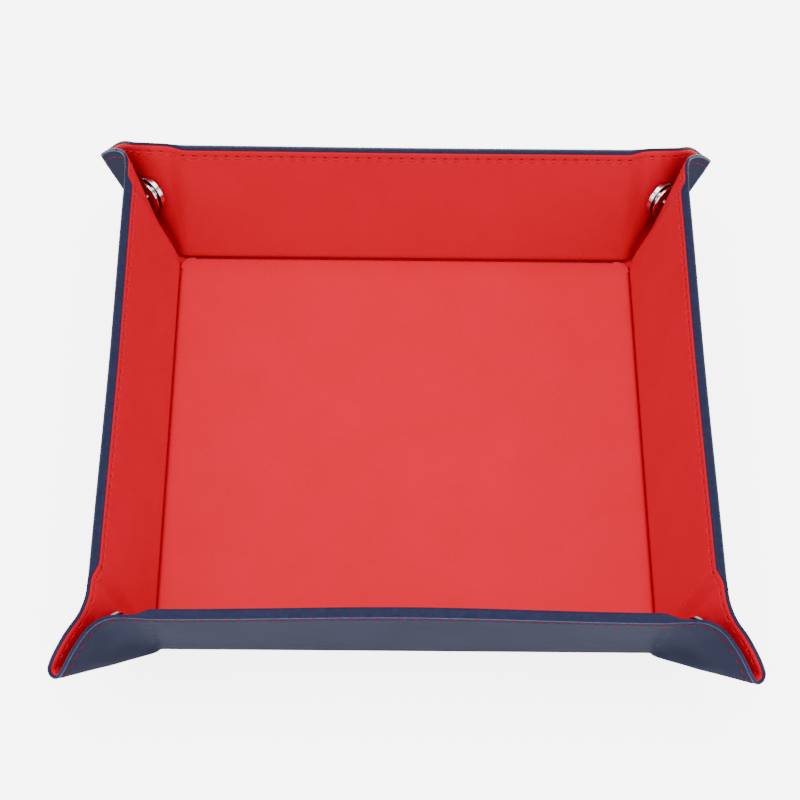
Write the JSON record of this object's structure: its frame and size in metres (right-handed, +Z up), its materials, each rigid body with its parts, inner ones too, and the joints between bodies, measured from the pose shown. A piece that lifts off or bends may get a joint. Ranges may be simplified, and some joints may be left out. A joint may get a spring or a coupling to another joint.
{
  "type": "folding dice tray",
  "caption": "Square folding dice tray of stitched leatherette, with raised walls held at pinched, snapped corners.",
  "frame": {"origin": "centre of the underside, on the surface the tray stands on", "axes": "+Z up, +Y to the back wall, +X to the right wall"},
  "size_m": [0.2248, 0.2248, 0.0449],
  "materials": {
    "cover": "matte navy leatherette",
    "lining": "satin red leatherette",
    "board": "grey board, hidden between the leathers",
    "snap": "polished",
    "rivet": "plated, hidden under the lining",
    "edge_paint": "navy edge paint on the leather's cut edge",
    "thread": "red sewing thread"
  },
  "bodies": {
    "base": {"base_cover": "cover", "base_board": "board", "base_lining": "lining"},
    "back_wall": {"back_wall_cover": "cover", "back_wall_board": "board", "back_wall_lining": "lining"},
    "back_ear_right": {"back_ear_right_cover": "cover", "back_ear_right_lining": "lining", "back_snap_socket_right": "snap", "back_socket_rivet_right": "rivet"},
    "back_tip_right": {"back_tip_right": "cover"},
    "back_ear_left": {"back_ear_left_cover": "cover", "back_ear_left_lining": "lining", "back_snap_socket_left": "snap", "back_socket_rivet_left": "rivet"},
    "back_tip_left": {"back_tip_left": "cover"},
    "right_wall": {"right_wall_cover": "cover", "right_wall_board": "board", "right_wall_lining": "lining"},
    "right_ear_front": {"right_ear_front_cover": "cover", "right_ear_front_lining": "lining", "right_snap_stud_front": "snap", "right_stud_rivet_front": "rivet"},
    "right_tip_front": {"right_tip_front": "cover"},
    "right_ear_back": {"right_ear_back_cover": "cover", "right_ear_back_lining": "lining", "right_snap_stud_back": "snap", "right_stud_rivet_back": "rivet"},
    "right_tip_back": {"right_tip_back": "cover"},
    "front_wall": {"front_wall_cover": "cover", "front_wall_board": "board", "front_wall_lining": "lining"},
    "front_ear_left": {"front_ear_left_cover": "cover", "front_ear_left_lining": "lining", "front_snap_socket_left": "snap", "front_socket_rivet_left": "rivet"},
    "front_tip_left": {"front_tip_left": "cover"},
    "front_ear_right": {"front_ear_right_cover": "cover", "front_ear_right_lining": "lining", "front_snap_socket_right": "snap", "front_socket_rivet_right": "rivet"},
    "front_tip_right": {"front_tip_right": "cover"},
    "left_wall": {"left_wall_cover": "cover", "left_wall_board": "board", "left_wall_lining": "lining"},
    "left_ear_back": {"left_ear_back_cover": "cover", "left_ear_back_lining": "lining", "left_snap_stud_back": "snap", "left_stud_rivet_back": "rivet"},
    "left_tip_back": {"left_tip_back": "cover"},
    "left_ear_front": {"left_ear_front_cover": "cover", "left_ear_front_lining": "lining", "left_snap_stud_front": "snap", "left_stud_rivet_front": "rivet"},
    "left_tip_front": {"left_tip_front": "cover"}
  },
  "joints": [
    {"name": "back_fold", "type": "hinge", "parent": "base", "child": "back_wall", "pos_m": [0, 0.084, 0.0008], "axis": [-1, 0, 0], "range_deg": [0, 70]},
    {"name": "back_ear_bend_right", "type": "hinge", "parent": "back_wall", "child": "back_ear_right", "pos_m": [0.08813, 0.09308, 0.02282], "axis": [-0.3236, -0.3236, -0.8891], "range_deg": [0, 48.37]},
    {"name": "back_crease_right", "type": "hinge", "parent": "back_ear_right", "child": "back_tip_right", "pos_m": [0.09558, 0.09911, 0.01881], "axis": [0.5673, 0.5673, 0.5969], "range_deg": [0, 18.67]},
    {"name": "back_ear_bend_left", "type": "hinge", "parent": "back_wall", "child": "back_ear_left", "pos_m": [-0.08813, 0.09308, 0.02282], "axis": [-0.3236, 0.3236, 0.8891], "range_deg": [0, 48.37]},
    {"name": "back_crease_left", "type": "hinge", "parent": "back_ear_left", "child": "back_tip_left", "pos_m": [-0.09558, 0.09911, 0.01881], "axis": [0.5673, -0.5673, -0.5969], "range_deg": [0, 18.67]},
    {"name": "right_fold", "type": "hinge", "parent": "base", "child": "right_wall", "pos_m": [0.084, 0, 0.0008], "axis": [0, 1, 0], "range_deg": [0, 70]},
    {"name": "right_ear_bend_front", "type": "hinge", "parent": "right_wall", "child": "right_ear_front", "pos_m": [0.09308, -0.08813, 0.02282], "axis": [-0.3236, 0.3236, -0.8891], "range_deg": [0, 48.37]},
    {"name": "right_crease_front", "type": "hinge", "parent": "right_ear_front", "child": "right_tip_front", "pos_m": [0.09911, -0.09558, 0.01881], "axis": [0.5673, -0.5673, 0.5969], "range_deg": [0, 18.67]},
    {"name": "right_ear_bend_back", "type": "hinge", "parent": "right_wall", "child": "right_ear_back", "pos_m": [0.09308, 0.08813, 0.02282], "axis": [0.3236, 0.3236, 0.8891], "range_deg": [0, 48.37]},
    {"name": "right_crease_back", "type": "hinge", "parent": "right_ear_back", "child": "right_tip_back", "pos_m": [0.09911, 0.09558, 0.01881], "axis": [-0.5673, -0.5673, -0.5969], "range_deg": [0, 18.67]},
    {"name": "front_fold", "type": "hinge", "parent": "base", "child": "front_wall", "pos_m": [0, -0.084, 0.0008], "axis": [1, 0, 0], "range_deg": [0, 70]},
    {"name": "front_ear_bend_left", "type": "hinge", "parent": "front_wall", "child": "front_ear_left", "pos_m": [-0.08813, -0.09308, 0.02282], "axis": [0.3236, 0.3236, -0.8891], "range_deg": [0, 48.37]},
    {"name": "front_crease_left", "type": "hinge", "parent": "front_ear_left", "child": "front_tip_left", "pos_m": [-0.09558, -0.09911, 0.01881], "axis": [-0.5673, -0.5673, 0.5969], "range_deg": [0, 18.67]},
    {"name": "front_ear_bend_right", "type": "hinge", "parent": "front_wall", "child": "front_ear_right", "pos_m": [0.08813, -0.09308, 0.02282], "axis": [0.3236, -0.3236, 0.8891], "range_deg": [0, 48.37]},
    {"name": "front_crease_right", "type": "hinge", "parent": "front_ear_right", "child": "front_tip_right", "pos_m": [0.09558, -0.09911, 0.01881], "axis": [-0.5673, 0.5673, -0.5969], "range_deg": [0, 18.67]},
    {"name": "left_fold", "type": "hinge", "parent": "base", "child": "left_wall", "pos_m": [-0.084, 0, 0.0008], "axis": [0, -1, 0], "range_deg": [0, 70]},
    {"name": "left_ear_bend_back", "type": "hinge", "parent": "left_wall", "child": "left_ear_back", "pos_m": [-0.09308, 0.08813, 0.02282], "axis": [0.3236, -0.3236, -0.8891], "range_deg": [0, 48.37]},
    {"name": "left_crease_back", "type": "hinge", "parent": "left_ear_back", "child": "left_tip_back", "pos_m": [-0.09911, 0.09558, 0.01881], "axis": [-0.5673, 0.5673, 0.5969], "range_deg": [0, 18.67]},
    {"name": "left_ear_bend_front", "type": "hinge", "parent": "left_wall", "child": "left_ear_front", "pos_m": [-0.09308, -0.08813, 0.02282], "axis": [-0.3236, -0.3236, 0.8891], "range_deg": [0, 48.37]},
    {"name": "left_crease_front", "type": "hinge", "parent": "left_ear_front", "child": "left_tip_front", "pos_m": [-0.09911, -0.09558, 0.01881], "axis": [0.5673, 0.5673, -0.5969], "range_deg": [0, 18.67]}
  ],
  "couplings": [
    {"joint": "back_ear_bend_right", "follows": "back_fold", "ratio": 0.69084},
    {"joint": "back_crease_right", "follows": "back_fold", "ratio": 0.26661},
    {"joint": "back_ear_bend_left", "follows": "back_fold", "ratio": 0.69084},
    {"joint": "back_crease_left", "follows": "back_fold", "ratio": 0.26661},
    {"joint": "right_fold", "follows": "back_fold", "ratio": 1},
    {"joint": "right_ear_bend_front", "follows": "back_fold", "ratio": 0.69084},
    {"joint": "right_crease_front", "follows": "back_fold", "ratio": 0.26661},
    {"joint": "right_ear_bend_back", "follows": "back_fold", "ratio": 0.69084},
    {"joint": "right_crease_back", "follows": "back_fold", "ratio": 0.26661},
    {"joint": "front_fold", "follows": "back_fold", "ratio": 1},
    {"joint": "front_ear_bend_left", "follows": "back_fold", "ratio": 0.69084},
    {"joint": "front_crease_left", "follows": "back_fold", "ratio": 0.26661},
    {"joint": "front_ear_bend_right", "follows": "back_fold", "ratio": 0.69084},
    {"joint": "front_crease_right", "follows": "back_fold", "ratio": 0.26661},
    {"joint": "left_fold", "follows": "back_fold", "ratio": 1},
    {"joint": "left_ear_bend_back", "follows": "back_fold", "ratio": 0.69084},
    {"joint": "left_crease_back", "follows": "back_fold", "ratio": 0.26661},
    {"joint": "left_ear_bend_front", "follows": "back_fold", "ratio": 0.69084},
    {"joint": "left_crease_front", "follows": "back_fold", "ratio": 0.26661}
  ]
}
